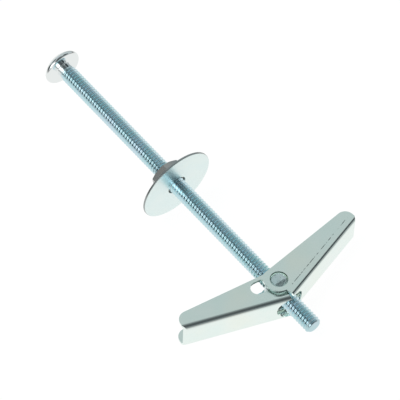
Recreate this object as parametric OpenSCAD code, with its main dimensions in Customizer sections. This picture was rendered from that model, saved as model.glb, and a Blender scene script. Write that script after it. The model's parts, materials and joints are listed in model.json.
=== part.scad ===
// Spring toggle bolt: a long machine screw with a nut and a wide washer on it,
// and a pair of folded steel wings that a spring holds open on a threaded trunnion.
//
// Everything is drawn in the screw's own frame: X runs from the head to the tip, with
// zero under the head, Y points along the right wing and Z along the hinge of the wings.
// lay_down() then puts it on the floor as it comes to rest, on the washer's rim, the
// fold of the left wing and the tip of the right one.

/* [Screw] */
// Length under the head
screw_len = 140; // [110:1:180]
// Outside diameter of the thread
screw_d = 6.35; // [5.8:0.05:6.5]
// Diameter of the head
head_d = 14.6; // [12.6:0.1:16]
// Height of the head
head_h = 5.1; // [4.4:0.1:6]
// Height of the upright rim of the head
head_rim_h = 1.1; // [1:0.1:1.5]
// Rounding of the rim's lower edge
head_edge_r = 0.9; // [0.3:0.1:0.9]
// Distance between two crests of the thread
thread_pitch = 1.27; // [1:0.01:1.5]
// Plain length between the head and the thread
plain_neck = 2.5; // [1:0.1:6]
// Depth of the plain neck below the thread's crests
neck_set = 0.32; // [0.1:0.02:0.5]
// Rounding between the head and the neck
neck_r = 0.4; // [0.2:0.1:0.8]
// Chamfer at the tip
tip_chamfer = 0.7; // [0.3:0.1:1.2]
// Width of the driving slot
drive_slot_w = 1.6; // [1.2:0.1:2]
// Depth of the driving slot
drive_slot_depth = 1.6; // [1:0.1:2]
// Width across the arms of the cross recess
cross_span = 6.4; // [5:0.1:7.5]
// Width of one arm of the cross recess
cross_arm_w = 1.9; // [1.4:0.1:2.4]
// Depth of the cross recess
cross_depth = 2.6; // [2:0.1:3.2]

/* [Nut and washer] */
// Width of the nut across its flats
nut_flats = 11.1; // [10:0.1:14]
// Height of the nut
nut_h = 5.6; // [4:0.1:7]
// Chamfer of the nut's corners, measured along the screw
nut_chamfer = 0.5; // [0.2:0.1:0.9]
// Distance from the flats in to the circle on the nut's faces
nut_face_set = 0.15; // [0.1:0.05:0.4]
// Turn of the nut about the screw
nut_turn = 12; // [0:1:59]
// Diameter of the washer
washer_d = 29.6; // [24:0.1:36]
// Thickness of the washer
washer_t = 1; // [0.8:0.1:2]
// Gap between the screw and the washer's hole, all round
washer_play = 0.65; // [0.3:0.05:1]
// Distance between the washer and the hinge of the wings
grip = 55.9; // [54:0.1:75]

/* [Wings] */
// Distance from the hinge to the tip of the screw
hinge_from_tip = 19.3; // [15:0.1:26]
// Distance from the hinge to the end of a wing
wing_reach = 37.9; // [33:0.1:40]
// Outside width of a wing
wing_w = 12; // [11.6:0.1:14]
// Thickness of the sheet
sheet_t = 0.9; // [0.7:0.05:1]
// Radius inside the fold
fold_r = 0.4; // [0.2:0.1:0.8]
// Distance from the hinge to the edges that bear on the wall
bearing_set = 5.2; // [5.1:0.1:6.5]
// Distance from the hinge to the outside of the web
web_set = 7.9; // [7.6:0.1:9]
// Taper of the cheeks
web_taper = 10.9; // [9:0.1:12]
// Overlap of the web past the hinge line
web_lap = 0.7; // [0.2:0.05:0.7]
// Radius of the ear round the hinge
ear_r = 4.9; // [4.6:0.1:5.2]
// Radius of the ear's upper corner
ear_corner_r = 3.5; // [2:0.1:4]
// Radius of the hollow curve between ear and web
ear_sweep_r = 1; // [0.6:0.1:2]
// Radius of the corner at the wing's end
tip_corner_r = 3.4; // [1.5:0.1:4]
// Radius of the notch that the screw passes through
notch_r = 4.9; // [4.85:0.05:5]
// Gap between the cheeks that lie over each other
nest_gap = 1; // [0.6:0.05:1.1]
// Angle of the right wing, folded back from square to the screw
right_angle = 4.9; // [4:0.1:20]
// Angle of the left wing, folded back from square to the screw
left_angle = 9.3; // [6:0.1:20]

/* [Window in the inner cheek] */
// Width of the window
window_w = 5; // [3:0.1:5.4]
// Distance from the hinge to the near end of the window
window_from = 4.4; // [4.2:0.1:6]
// Distance from the hinge to the far end of the window
window_to = 10.1; // [9.5:0.1:14]
// Distance from the bearing edge to the window
window_margin = 1.3; // [1:0.1:2]

/* [Trunnion nut and spring] */
// Diameter of the trunnion's barrel
barrel_d = 9.4; // [9:0.1:10.5]
// Diameter of the trunnion's stubs
stub_d = 5.6; // [5:0.1:5.8]
// Gap between a stub and its holes, all round
stub_play = 0.4; // [0.3:0.05:0.5]
// Depth of the stub's end below the outer cheek
stub_sink = 0.2; // [0.1:0.05:0.4]
// Gap between the threads of the screw and of the nuts, all round
thread_play = 0.05; // [0.02:0.01:0.1]
// Gap between the barrel and the cheek beside it
barrel_play = 0.2; // [0.1:0.05:0.3]
// Diameter of the spring's wire
wire_d = 0.5; // [0.4:0.05:0.55]
// Gap beside each turn of the spring
wire_play = 0.05; // [0.03:0.01:0.06]
// Length of the spring's legs
leg_len = 12.5; // [9:0.5:16]

/* [Hidden] */
$fn = 64;
eps = 0.01;
// The hollow curve beside an ear cuts this far into what it meets.
sweep_bite = 0.02;
// Turn of the washer about the screw, so that its seam lies clear of the floor.
washer_turn = -5;

zinc_blue = [0.66, 0.76, 0.80];
zinc_pale = [0.84, 0.88, 0.88];
zinc_green = [0.72, 0.79, 0.77];
spring_steel = [0.45, 0.47, 0.48];

RIGHT = 1;
LEFT = -1;

// Places along the screw, counted from under the head.
hinge_at = screw_len - hinge_from_tip;
washer_at = hinge_at - grip;

// Head: a dome of one radius on an upright rim.
dome_h = head_h - head_rim_h;
dome_r = (pow(head_d / 2, 2) + pow(dome_h, 2)) / (2 * dome_h);
dome_at = dome_r - head_h;

// Thread: flanks at 60 degrees to each other, with flat crests of an eighth of the
// pitch and flat roots of a quarter of it.
flank_slope = tan(30);
crest_r = screw_d / 2;
crest_flat = thread_pitch / 8;
root_r = crest_r - (thread_pitch * 5 / 8) / (2 * flank_slope);
flank_len = (crest_r - root_r) * flank_slope;
shank_r = crest_r - neck_set;

bore_r = crest_r + thread_play;
washer_hole_r = screw_d / 2 + washer_play;
hinge_hole_r = stub_d / 2 + stub_play;

// The wings are one stamping used twice. Each has one cheek outside the other wing's
// and one inside, so the two are shifted apart along the hinge.
nest_shift = (sheet_t + nest_gap) / 2;
clear_w = wing_w - 2 * sheet_t - 2 * nest_shift;
wire_pitch = wire_d + wire_play;
spring_room = 2 * wire_pitch + wire_play;
barrel_len = clear_w - barrel_play - spring_room;

// The spring sits on one side only, which sets the wings off the screw's axis.
toggle_z = -(spring_room - barrel_play) / 2;
stub_reach = wing_w / 2 + nest_shift - stub_sink;

function angle_of(side) = side == RIGHT ? right_angle : left_angle;
function web_x(reach) = web_set - reach * tan(web_taper);

// A point of a wing's own plane, in the screw's frame. The wing's plane has x along
// the screw and y outward from the hinge.
function on_wing(side, x, y, z) = [
    hinge_at + x * cos(angle_of(side)) - y * sin(angle_of(side)),
    side * (x * sin(angle_of(side)) + y * cos(angle_of(side))),
    z
];
function cheek_z(side, level) = toggle_z + side * nest_shift + level * wing_w / 2;

// Resting pose. The lowest points are the inner end of the left wing's fold, the tip of
// the right wing and the washer's rim. The roll about the screw solves
//     roll_p * cos(roll) + roll_q * sin(roll) = roll_k,
// and the pitch then brings the washer down to the same floor.
bend_r = fold_r + sheet_t;
tip_x = web_x(wing_reach) - bend_r;
fold_low = on_wing(LEFT, web_set - bend_r, -web_lap, cheek_z(LEFT, -1));
tip_low = on_wing(RIGHT, tip_x, wing_reach, cheek_z(RIGHT, -1));
fold_run = fold_low[0] - washer_at;
low_run = fold_low[0] - tip_low[0];
roll_p = (fold_low[2] - tip_low[2]) * fold_run - low_run * fold_low[2];
roll_q = (tip_low[1] - fold_low[1]) * fold_run + low_run * fold_low[1];
roll_k = low_run * washer_d / 2;
roll = atan2(roll_q, roll_p) - acos(roll_k / norm([roll_p, roll_q]));
fold_drop = fold_low[2] * cos(roll) - fold_low[1] * sin(roll);
pitch = atan((washer_d / 2 + fold_drop) / fold_run);

// Extent of the object once it lies down, to centre it over the origin.
tip_end_y = [for (side = [LEFT, RIGHT]) on_wing(side, tip_x, wing_reach, 0)[1]];
low_x = dome_at * cos(pitch) - dome_r;
high_x = screw_len * cos(pitch) + (screw_d / 2 - tip_chamfer) * sin(pitch);
low_y = tip_end_y[0] * cos(roll) + cheek_z(LEFT, -1) * sin(roll);
high_y = tip_end_y[1] * cos(roll) + cheek_z(RIGHT, 1) * sin(roll);
floor_z = fold_drop * cos(pitch) - fold_low[0] * sin(pitch);

module lay_down() {
    translate([-(low_x + high_x) / 2, -(low_y + high_y) / 2, -floor_z])
        rotate([0, pitch, 0])
            rotate([-roll, 0, 0])
                children();
}

// Turns a shape that stands on Z so that it runs along the screw, towards the tip.
module along_screw(at = 0) {
    translate([at, 0, 0])
        rotate([0, 90, 0])
            children();
}

// ---- machine screw ----

// Half section of the head: x is the distance from the axis, y runs towards the tip.
module head_profile() {
    difference() {
        intersection() {
            translate([0, -head_h])
                square([head_d / 2, head_h]);
            union() {
                translate([0, dome_at])
                    circle(r = dome_r, $fn = 128);
                translate([0, -head_rim_h])
                    square([head_d / 2, head_rim_h]);
            }
        }
        translate([head_d / 2 - head_edge_r, -head_edge_r])
            difference() {
                square([head_edge_r + 1, head_edge_r + 1]);
                circle(r = head_edge_r);
            }
    }
}

module neck_fillet() {
    rotate_extrude()
        difference() {
            translate([shank_r - eps, -eps])
                square([neck_r + eps, neck_r + eps]);
            translate([shank_r + neck_r, neck_r])
                circle(r = neck_r);
        }
}

// One crest of the thread and its two flanks, with the crest's far edge at a height.
function crest_points(end) = [
    [root_r, end - crest_flat - flank_len],
    [crest_r, end - crest_flat],
    [crest_r, end],
    [root_r, end + flank_len]
];

// Half section of the shank. The thread is drawn as rings that have its true section,
// counted back from the chamfer at the tip to the plain neck.
module shank_profile() {
    thread_end = screw_len - tip_chamfer;
    spare_crests = floor((thread_end - plain_neck) / thread_pitch);
    first_crest = thread_end - spare_crests * thread_pitch;
    polygon(concat(
        [
            [0, -eps],
            [shank_r, -eps],
            [shank_r, first_crest - crest_flat - neck_set * flank_slope],
            [crest_r, first_crest - crest_flat],
            [crest_r, first_crest],
            [root_r, first_crest + flank_len]
        ],
        [for (i = [1:spare_crests - 1]) each crest_points(first_crest + i * thread_pitch)],
        [
            [root_r, thread_end - crest_flat - flank_len],
            [crest_r, thread_end - crest_flat],
            [crest_r, thread_end],
            [crest_r - tip_chamfer, screw_len],
            [0, screw_len]
        ]
    ));
}

// Slot right across the head, crossed by a recess with a pointed floor.
module drive_recess() {
    cross_wall_h = cross_depth - cross_arm_w / 2;
    translate([-head_h - eps, -head_d / 2 - 1, -drive_slot_w / 2])
        cube([drive_slot_depth + eps, head_d + 2, drive_slot_w]);
    for (turn = [0, 90])
        rotate([turn, 0, 0])
            translate([-head_h - eps, -cross_span / 2, -cross_arm_w / 2])
                cube([cross_wall_h + eps, cross_span, cross_arm_w]);
    along_screw(-head_h + cross_wall_h - eps)
        cylinder(h = cross_arm_w / 2, r1 = cross_arm_w / 2, r2 = 0.1);
}

module machine_screw() {
    color(zinc_blue)
        difference() {
            union() {
                along_screw()
                    rotate_extrude($fn = 128)
                        head_profile();
                along_screw()
                    neck_fillet();
                along_screw()
                    rotate_extrude()
                        shank_profile();
            }
            drive_recess();
        }
}

// ---- nut and washer ----

// Hexagon with both faces chamfered to a circle a little narrower than the flats.
module hex_nut() {
    corner_r = nut_flats / 2 / cos(30);
    face_r = nut_flats / 2 - nut_face_set;
    wide_r = corner_r + 1;
    rise = nut_chamfer * (wide_r - face_r) / (corner_r - face_r);
    color(zinc_blue)
        along_screw(washer_at - washer_t - nut_h)
            difference() {
                intersection() {
                    rotate([0, 0, nut_turn])
                        cylinder(h = nut_h, r = corner_r, $fn = 6);
                    rotate_extrude()
                        polygon([
                            [0, 0],
                            [face_r, 0],
                            [wide_r, rise],
                            [wide_r, nut_h - rise],
                            [face_r, nut_h],
                            [0, nut_h]
                        ]);
                }
                translate([0, 0, -1])
                    cylinder(h = nut_h + 2, r = bore_r);
            }
}

module flat_washer() {
    color(zinc_pale)
        along_screw(washer_at - washer_t)
            rotate([0, 0, washer_turn])
                difference() {
                    cylinder(h = washer_t, d = washer_d, $fn = 128);
                    translate([0, 0, -1])
                        cylinder(h = washer_t + 2, r = washer_hole_r);
                }
}

// ---- trunnion nut and spring ----

module trunnion_nut() {
    color(zinc_pale)
        translate([hinge_at, 0, 0])
            difference() {
                union() {
                    translate([0, 0, -barrel_len / 2])
                        cylinder(h = barrel_len, d = barrel_d);
                    translate([0, 0, toggle_z - stub_reach])
                        cylinder(h = 2 * stub_reach, d = stub_d);
                }
                along_screw(-barrel_d)
                    cylinder(h = 2 * barrel_d, r = bore_r);
            }
}

// Straight wire with round ends from one point to another at the same height.
module wire_leg(from, to) {
    run = to - from;
    translate(from)
        rotate([0, 90, atan2(run[1], run[0])])
            cylinder(h = norm(run), d = wire_d, $fn = 24);
    for (end = [from, to])
        translate(end)
            sphere(d = wire_d, $fn = 24);
}

// One turn round the lower stub, in two half turns at different heights, and a leg
// along the inside of each wing's web. The legs push the wings open.
module torsion_spring() {
    coil_r = stub_d / 2 + 3 * wire_play + wire_d / 2;
    upper_z = -barrel_len / 2 - wire_play - wire_d / 2;
    lower_z = upper_z - wire_pitch;
    color(spring_steel)
        union() {
            for (half = [LEFT, RIGHT])
                translate([hinge_at, 0, half == LEFT ? upper_z : lower_z])
                    rotate([0, 0, half == LEFT ? 180 : 0])
                        rotate_extrude(angle = 180)
                            translate([coil_r, 0])
                                circle(d = wire_d, $fn = 24);
            translate([hinge_at - coil_r, 0, lower_z])
                cylinder(h = wire_pitch, d = wire_d, $fn = 24);
            for (side = [LEFT, RIGHT]) {
                leg_x = web_x(leg_len) - (sheet_t + wire_d / 2) / cos(web_taper) - 3 * wire_play;
                leg_z = side == RIGHT ? upper_z : lower_z;
                wire_leg([hinge_at + coil_r, 0, leg_z], on_wing(side, leg_x, leg_len, leg_z));
            }
        }
}

// ---- wings ----

// Rectangle open towards -X, with two round corners at x = 0.
module rounded_channel(depth, width, r) {
    translate([-depth, -width / 2])
        square([depth - r, width]);
    translate([-depth, -width / 2 + r])
        square([depth, width - 2 * r]);
    for (side = [-1, 1])
        translate([-r, side * (width / 2 - r)])
            circle(r = r, $fn = 32);
}

// The folded sheet before its outline is cut: a web with two deep cheeks.
module folded_channel() {
    depth = web_set + bearing_set + wing_reach;
    reach = 2 * wing_reach;
    translate([web_set, 0, 0])
        rotate([0, 0, web_taper])
            translate([0, reach, 0])
                rotate([90, 0, 0])
                    linear_extrude(2 * reach)
                        difference() {
                            rounded_channel(depth, wing_w, bend_r);
                            translate([-sheet_t, 0])
                                rounded_channel(depth, wing_w - 2 * sheet_t, fold_r);
                        }
}

module ear_outline() {
    corner_x = ear_corner_r - bearing_set;
    corner_y = ear_corner_r - ear_r;
    circle(r = ear_r);
    translate([corner_x, corner_y])
        circle(r = ear_corner_r);
    translate([corner_x, -ear_r])
        square([-corner_x, ear_r]);
    translate([-bearing_set, corner_y])
        square([bearing_set, ear_r]);
}

// Hollow curve that leads from the ear to the end of the web.
module ear_sweep_outline() {
    sweep_set = ear_sweep_r - sweep_bite;
    sweep_y = -web_lap - sweep_set;
    sweep_x = sqrt(pow(ear_r + sweep_set, 2) - pow(sweep_y, 2));
    difference() {
        polygon([[0, 0], [sweep_x, sweep_y], [sweep_x, 0], [0, ear_sweep_r]]);
        translate([sweep_x, sweep_y])
            circle(r = ear_sweep_r, $fn = 32);
    }
}

// Straight bearing edge, round corner, and an end that slants back where it meets
// the fold.
module cheek_outline() {
    end_x = web_x(wing_reach) - bend_r;
    difference() {
        polygon([
            [0, -web_lap],
            [-bearing_set, 0],
            [-bearing_set, wing_reach],
            [end_x, wing_reach],
            [end_x + 4, wing_reach - 3],
            [web_set + 4, 0],
            [web_set + 4, -web_lap]
        ]);
        translate([-bearing_set, wing_reach])
            difference() {
                translate([-1, -tip_corner_r])
                    square([tip_corner_r + 1, tip_corner_r + 1]);
                translate([tip_corner_r, -tip_corner_r])
                    circle(r = tip_corner_r);
            }
    }
}

// Prism through both cheeks and the web that gives the folded sheet its outline.
module wing_blank() {
    translate([0, 0, -wing_w / 2 - 1]) {
        linear_extrude(wing_w + 2)
            ear_outline();
        linear_extrude(wing_w + 2)
            ear_sweep_outline();
        linear_extrude(wing_w + 2)
            cheek_outline();
    }
}

module window_outline() {
    r = window_w / 2;
    small_r = r / 3;
    middle_x = window_margin + r - bearing_set;
    translate([middle_x, window_to - r])
        circle(r = r);
    translate([middle_x - r, window_from + small_r])
        square([window_w, window_to - r - window_from - small_r]);
    translate([middle_x - r + small_r, window_from])
        square([window_w - 2 * small_r, small_r + eps]);
    for (side = [-1, 1])
        translate([middle_x + side * (r - small_r), window_from + small_r])
            circle(r = small_r, $fn = 32);
}

// One wing in its own plane, with the hinge at the origin and the inner cheek below.
module wing() {
    difference() {
        intersection() {
            folded_channel();
            wing_blank();
        }
        translate([0, 0, -wing_w])
            cylinder(h = 2 * wing_w, r = hinge_hole_r);
        translate([0, 0, -wing_w / 2 - 1])
            linear_extrude(sheet_t + 2)
                window_outline();
        translate([web_set, 0, 0])
            rotate([0, 0, web_taper])
                translate([-bend_r - 1, -web_lap / 2, 0])
                    rotate([0, 90, 0])
                        cylinder(h = bend_r + 2, r = notch_r);
    }
}

module hinged_wing(side) {
    color(zinc_green)
        translate([hinge_at, 0, toggle_z])
            rotate([0, 0, side * angle_of(side)])
                rotate([side == LEFT ? 180 : 0, 0, 0])
                    translate([0, 0, nest_shift])
                        wing();
}

module wing_left() {
    hinged_wing(LEFT);
}

module wing_right() {
    hinged_wing(RIGHT);
}

lay_down() machine_screw();
lay_down() hex_nut();
lay_down() flat_washer();
lay_down() trunnion_nut();
lay_down() torsion_spring();
lay_down() wing_left();
lay_down() wing_right();
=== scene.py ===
"""Dresses the spring toggle bolt: rolled thread, folded wings, zinc plate and a plain studio.

Every piece is drawn in millimetres in the screw's own frame, with X from under the head
towards the tip, Y along the right wing and Z along the hinge. The screw frame's matrix
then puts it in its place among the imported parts.
"""

import json
import logging
import math
from dataclasses import dataclass, field
from enum import Enum
from typing import Any, Dict, Iterable, List, Mapping, Optional, Sequence, Tuple, Union

import bmesh
import bpy
from mathutils import Matrix, Vector, noise


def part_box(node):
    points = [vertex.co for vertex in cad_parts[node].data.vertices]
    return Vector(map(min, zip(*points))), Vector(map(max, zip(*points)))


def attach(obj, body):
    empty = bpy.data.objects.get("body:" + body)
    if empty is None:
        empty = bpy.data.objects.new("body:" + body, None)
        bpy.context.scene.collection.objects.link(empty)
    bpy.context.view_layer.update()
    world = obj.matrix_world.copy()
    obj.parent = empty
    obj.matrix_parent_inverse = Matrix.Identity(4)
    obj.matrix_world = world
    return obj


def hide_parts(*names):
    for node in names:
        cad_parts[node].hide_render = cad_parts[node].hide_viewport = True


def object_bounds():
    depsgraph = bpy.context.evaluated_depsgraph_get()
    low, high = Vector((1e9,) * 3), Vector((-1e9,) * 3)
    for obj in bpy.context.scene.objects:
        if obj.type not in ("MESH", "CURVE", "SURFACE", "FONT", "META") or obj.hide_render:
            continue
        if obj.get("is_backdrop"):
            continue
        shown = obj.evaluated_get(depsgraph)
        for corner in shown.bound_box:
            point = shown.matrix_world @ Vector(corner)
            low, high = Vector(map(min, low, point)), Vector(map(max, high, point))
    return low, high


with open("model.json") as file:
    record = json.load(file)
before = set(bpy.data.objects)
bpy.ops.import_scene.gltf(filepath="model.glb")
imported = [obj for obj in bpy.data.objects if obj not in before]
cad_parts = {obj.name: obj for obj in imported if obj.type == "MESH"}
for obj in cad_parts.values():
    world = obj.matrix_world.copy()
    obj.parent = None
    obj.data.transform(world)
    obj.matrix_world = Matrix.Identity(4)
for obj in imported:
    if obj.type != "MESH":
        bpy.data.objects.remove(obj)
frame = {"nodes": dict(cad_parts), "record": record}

MM = 0.001
# Points of one piece that lie this near to each other, in millimetres, are one point.
WELD = 0.002
LOG = logging.getLogger("toggle_bolt")

Colour = Tuple[float, float, float]
Point = Tuple[float, float]
Operand = Union[float, int, Sequence[float], "Channel"]
Sockets = Dict[str, "Channel"]


class Side(Enum):
    """The two wings, by the sign of their Y direction."""

    RIGHT = 1
    LEFT = -1


class Fuse(Enum):
    """How one solid is combined with another."""

    JOIN = "UNION"
    CUT = "DIFFERENCE"
    KEEP = "INTERSECT"


# ---- node trees ----


class Channel:
    """A socket that takes part in Python expressions."""

    def __init__(self, tree: "Tree", socket: bpy.types.NodeSocket) -> None:
        """Wraps one output socket of a tree."""
        self.tree = tree
        self.socket = socket

    def __add__(self, other: Operand) -> "Channel":
        """Sum."""
        return self.tree.maths("ADD", self, other)

    __radd__ = __add__

    def __mul__(self, other: Operand) -> "Channel":
        """Product."""
        return self.tree.maths("MULTIPLY", self, other)

    __rmul__ = __mul__

    def __sub__(self, other: Operand) -> "Channel":
        """Difference."""
        return self.tree.maths("SUBTRACT", self, other)

    def __rsub__(self, other: Operand) -> "Channel":
        """Difference with this channel on the right."""
        return self.tree.maths("SUBTRACT", other, self)

    def __truediv__(self, other: Operand) -> "Channel":
        """Quotient."""
        return self.tree.maths("DIVIDE", self, other)

    def __rtruediv__(self, other: Operand) -> "Channel":
        """Quotient with this channel below."""
        return self.tree.maths("DIVIDE", other, self)

    def __pow__(self, other: Operand) -> "Channel":
        """Power."""
        return self.tree.maths("POWER", self, other)


class Tree:
    """A node tree of any kind, filled by expressions and by one method for every other node."""

    def __init__(self, tree: bpy.types.NodeTree) -> None:
        """Takes over a tree and empties it."""
        self.tree = tree
        tree.nodes.clear()

    def add(
        self,
        kind: str,
        settings: Optional[Mapping[str, Any]] = None,
        sockets: Optional[Mapping[Union[str, int], Operand]] = None,
    ) -> bpy.types.Node:
        """Adds a node.

        Args:
            kind: The node's type.
            settings: Its own settings, which are set first. "items" gives an index switch
                as many values.
            sockets: Values or channels for its input sockets, by name or number.

        Returns:
            The new node.
        """
        node = self.tree.nodes.new(kind)
        for key, value in (settings or {}).items():
            if key == "items":
                for _ in range(value - len(node.index_switch_items)):
                    node.index_switch_items.new()
            else:
                setattr(node, key, value)
        for key, value in (sockets or {}).items():
            self.feed(node.inputs[key], value)
        return node

    def feed(self, socket: bpy.types.NodeSocket, value: Operand) -> None:
        """Links a channel to an input socket, or sets the socket's own value."""
        if isinstance(value, Channel):
            self.tree.links.new(value.socket, socket)
        elif socket.type == "RGBA":
            socket.default_value = (*value, 1.0) if len(value) == 3 else value
        else:
            socket.default_value = value

    def out(self, node: bpy.types.Node, name: Union[str, int] = 0) -> Channel:
        """One output of a node as a channel."""
        return Channel(self, node.outputs[name])

    def made(
        self,
        kind: str,
        sockets: Mapping[Union[str, int], Operand],
        settings: Optional[Mapping[str, Any]] = None,
    ) -> Channel:
        """The first output of a new node."""
        return self.out(self.add(kind, settings, sockets))

    def maths(self, operation: str, *values: Operand) -> Channel:
        """A Math node on one to three values."""
        settings = {"operation": operation}
        return self.out(self.add("ShaderNodeMath", settings, dict(enumerate(values))))

    def vector(self, operation: str, *values: Operand, output: str = "Vector") -> Channel:
        """A Vector Math node."""
        settings = {"operation": operation}
        node = self.add("ShaderNodeVectorMath", settings)
        for place, value in enumerate(values):
            scale = operation == "SCALE" and place == 1
            self.feed(node.inputs["Scale"] if scale else node.inputs[place], value)
        return self.out(node, output)

    def dot(self, value: Operand, axis: Sequence[float]) -> Channel:
        """How far a vector reaches along an axis."""
        return self.vector("DOT_PRODUCT", value, tuple(axis), output="Value")

    def blend(self, share: Operand, first: Operand, second: Operand) -> Channel:
        """A mix of two colours."""
        node = self.add("ShaderNodeMix", {"data_type": "RGBA"}, {"Factor": share})
        self.feed(node.inputs[6], first)
        self.feed(node.inputs[7], second)
        return self.out(node, 2)

    def ease(self, value: Operand, low: Operand, high: Operand) -> Channel:
        """A smooth step from 0 at low to 1 at high."""
        node = self.add(
            "ShaderNodeMapRange",
            {"interpolation_type": "SMOOTHSTEP"},
            {"Value": value, "From Min": low, "From Max": high},
        )
        return self.out(node)


# ---- places ----


@dataclass(frozen=True)
class ScrewFrame:
    """The screw's own frame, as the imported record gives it."""

    origin: Vector
    along: Vector
    hinge_line: Vector
    hinge: Vector

    @classmethod
    def from_record(cls, record: Mapping[str, Any]) -> "ScrewFrame":
        """Reads the frame from the record's joints and mounts.

        Args:
            record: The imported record.

        Returns:
            The frame, with its origin under the middle of the head.
        """
        joints = {j["name"]: j for j in record["behaviour"]["joints"]}
        mounts = {m["name"]: m for m in record["mounts"]}
        along = Vector(joints["toggle_travel"]["axis"]).normalized()
        hinge_line = Vector(joints["right_fold"]["axis"]).normalized()
        on_axis = Vector(mounts["drive_recess"]["pos_m"])
        reach = (Vector(mounts["head_face"]["pos_m"]) - on_axis).dot(along)
        hinge = Vector(joints["right_fold"]["pos_m"])
        return cls(on_axis + along * reach, along, hinge_line, hinge)

    @property
    def matrix(self) -> Matrix:
        """Millimetres in the screw's frame to metres in the row's."""
        across = self.hinge_line.cross(self.along).normalized()
        turn = Matrix((self.along, across, self.hinge_line)).transposed().to_4x4()
        return Matrix.Translation(self.origin) @ turn @ Matrix.Scale(MM, 4)

    def local(self, place: Vector) -> Vector:
        """A point of the row in the screw's frame, in millimetres."""
        return self.matrix.inverted() @ place

    def span(self, node: str) -> Tuple[Vector, Vector]:
        """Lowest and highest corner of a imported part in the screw's frame, in millimetres."""
        back = self.matrix.inverted()
        points = [back @ v.co for v in frame["nodes"][node].data.vertices]
        low = Vector([min(p[i] for p in points) for i in range(3)])
        high = Vector([max(p[i] for p in points) for i in range(3)])
        return low, high


# ---- shop: solids, cuts and edges ----


def arc(centre: Point, radius: float, start: float, end: float, steps: int) -> List[Point]:
    """Points along an arc, with both ends.

    Args:
        centre: Middle of the circle.
        radius: Its radius.
        start: First angle in degrees.
        end: Last angle in degrees.
        steps: Number of chords.

    Returns:
        The points, one more than the chords.
    """
    turns = [math.radians(start + (end - start) * i / steps) for i in range(steps + 1)]
    return [(centre[0] + radius * math.cos(t), centre[1] + radius * math.sin(t)) for t in turns]


class Blank:
    """A closed solid in the making, with the operations of a small metal shop."""

    def __init__(self, shape: bmesh.types.BMesh) -> None:
        """Takes a bmesh, which it owns from then on."""
        self.shape = shape

    @classmethod
    def prism(cls, outline: Sequence[Point], low: float, high: float) -> "Blank":
        """An outline in X and Y, drawn up along Z.

        Args:
            outline: Corners in order.
            low: Height of its floor.
            high: Height of its top.

        Returns:
            The closed prism.
        """
        shape = bmesh.new()
        floor = shape.faces.new([shape.verts.new((x, y, low)) for x, y in outline])
        grown = bmesh.ops.extrude_face_region(shape, geom=[floor])["geom"]
        lifted = [g for g in grown if isinstance(g, bmesh.types.BMVert)]
        bmesh.ops.translate(shape, verts=lifted, vec=(0, 0, high - low))
        return cls(shape).sound()

    @classmethod
    def turned(cls, profile: Sequence[Point], segments: int, bored: bool = False) -> "Blank":
        """A profile of place along X and radius, turned about X.

        Args:
            profile: Points from one end to the other.
            segments: Number of steps round the axis.
            bored: True for a ring, whose profile closes on itself.

        Returns:
            The closed turned solid.
        """
        shape = bmesh.new()
        rings = []
        for x, r in profile:
            if r < 1e-9:
                rings.append([shape.verts.new((x, 0, 0))] * segments)
                continue
            turns = [2 * math.pi * i / segments for i in range(segments)]
            rings.append([shape.verts.new((x, r * math.cos(t), r * math.sin(t))) for t in turns])
        pairs = list(zip(rings, rings[1:] + rings[:1])) if bored else list(zip(rings, rings[1:]))
        for first, second in pairs:
            for i in range(segments):
                corners = [first[i], second[i], second[i - 1], first[i - 1]]
                shape.faces.new(list(dict.fromkeys(corners)))
        for ring in () if bored else (rings[0], rings[-1]):
            if ring[0] is not ring[1]:
                shape.faces.new(ring)
        return cls(shape).sound()

    def sound(self) -> "Blank":
        """Merges doubles and turns every face outward."""
        bmesh.ops.remove_doubles(self.shape, verts=self.shape.verts, dist=1e-6)
        bmesh.ops.recalc_face_normals(self.shape, faces=self.shape.faces)
        return self

    def moved(self, matrix: Matrix) -> "Blank":
        """Moves the solid."""
        self.shape.transform(matrix)
        return self

    def mesh(self, name: str) -> bpy.types.Mesh:
        """Hands the solid over as a mesh, and is empty after that."""
        mesh = bpy.data.meshes.new(name)
        self.shape.to_mesh(mesh)
        self.shape.free()
        return mesh

    def fused(self, how: Fuse, tool: "Blank") -> "Blank":
        """Joins, cuts or keeps what a tool covers.

        Args:
            how: The operation.
            tool: The other solid, which is used up.

        Returns:
            The combined solid.
        """
        work = bpy.data.objects.new("work", self.mesh("work"))
        cutter = bpy.data.objects.new("cutter", tool.mesh("cutter"))
        for piece in (work, cutter):
            bpy.context.scene.collection.objects.link(piece)
        step = work.modifiers.new("fuse", "BOOLEAN")
        step.operation, step.solver, step.object = how.value, "EXACT", cutter
        self.shape = bmesh.new()
        mesh = evaluated_mesh(work)
        self.shape.from_mesh(mesh)
        bpy.data.meshes.remove(mesh)
        for piece in (work, cutter):
            discard(piece)
        return self.sound()


def evaluated_mesh(piece: bpy.types.Object) -> bpy.types.Mesh:
    """The mesh of a piece with its modifiers carried out."""
    graph = bpy.context.evaluated_depsgraph_get()
    graph.update()
    return bpy.data.meshes.new_from_object(piece.evaluated_get(graph), depsgraph=graph)


def discard(piece: bpy.types.Object) -> None:
    """Removes a helper piece and its mesh."""
    mesh = piece.data
    bpy.data.objects.remove(piece)
    if mesh is not None and mesh.users == 0:
        bpy.data.meshes.remove(mesh)


@dataclass(frozen=True)
class Edge:
    """How the edges of a piece are broken."""

    width: float = 0.1
    segments: int = 2
    angle: float = 35.0


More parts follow.
